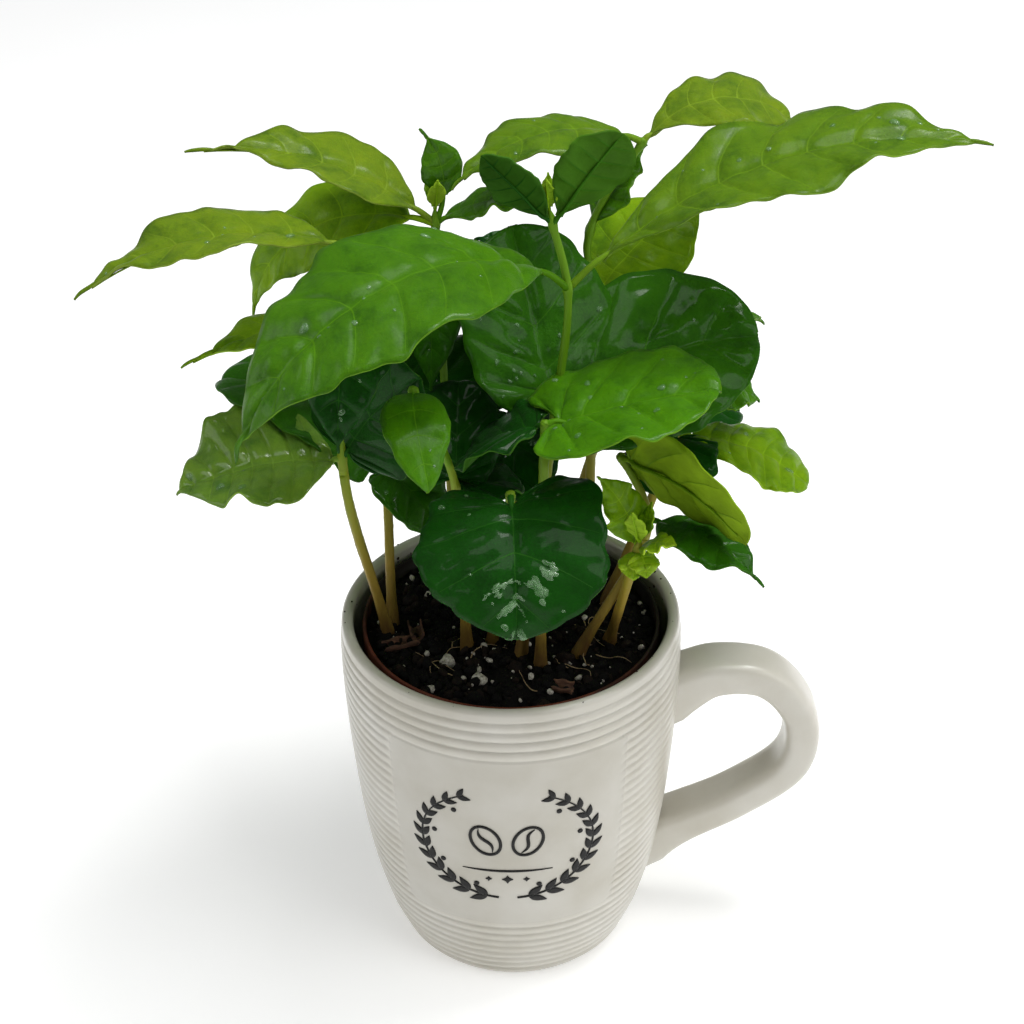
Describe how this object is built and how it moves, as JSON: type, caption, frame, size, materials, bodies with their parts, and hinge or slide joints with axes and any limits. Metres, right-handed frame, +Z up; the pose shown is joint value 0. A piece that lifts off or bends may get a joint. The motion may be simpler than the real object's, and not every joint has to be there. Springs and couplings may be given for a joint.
{
  "type": "potted coffee plant",
  "caption": "Clump of young coffee seedlings with broad glossy leaves, growing in a nursery pot inside a ribbed off-white mug that stands on its flat underside.",
  "frame": {"origin": "middle of the mug's flat underside", "axes": "+Z up, +X towards the mug's handle, -Y towards the side with the smooth panel, which the picture shows"},
  "size_m": [0.2178, 0.1534, 0.2403],
  "materials": {
    "glaze": "off-white satin glaze",
    "pot_plastic": "thin reddish-brown moulded plastic",
    "peat": "moist dark peat with perlite",
    "stem": "smooth young bark, green to olive-tan",
    "leaf": "glossy, wet, quilted between the veins"
  },
  "bodies": {
    "root": {"mug_body": "glaze", "mug_handle": "glaze", "nursery_pot": "pot_plastic", "soil": "peat", "stem_1": "stem", "stem_2": "stem", "stem_3": "stem", "stem_4": "stem", "stem_5": "stem", "stem_6": "stem", "stem_7": "stem", "stem_8": "stem", "stem_9": "stem", "stem_10": "stem", "stem_11": "stem", "stem_12": "stem", "stem_13": "stem", "foliage_1": "leaf", "foliage_2": "leaf", "foliage_3": "leaf", "foliage_4": "leaf", "foliage_5": "leaf", "foliage_6": "leaf", "foliage_7": "leaf", "foliage_8": "leaf", "foliage_9": "leaf", "foliage_10": "leaf", "foliage_11": "leaf", "foliage_12": "leaf", "foliage_13": "leaf"}
  },
  "joints": []
}
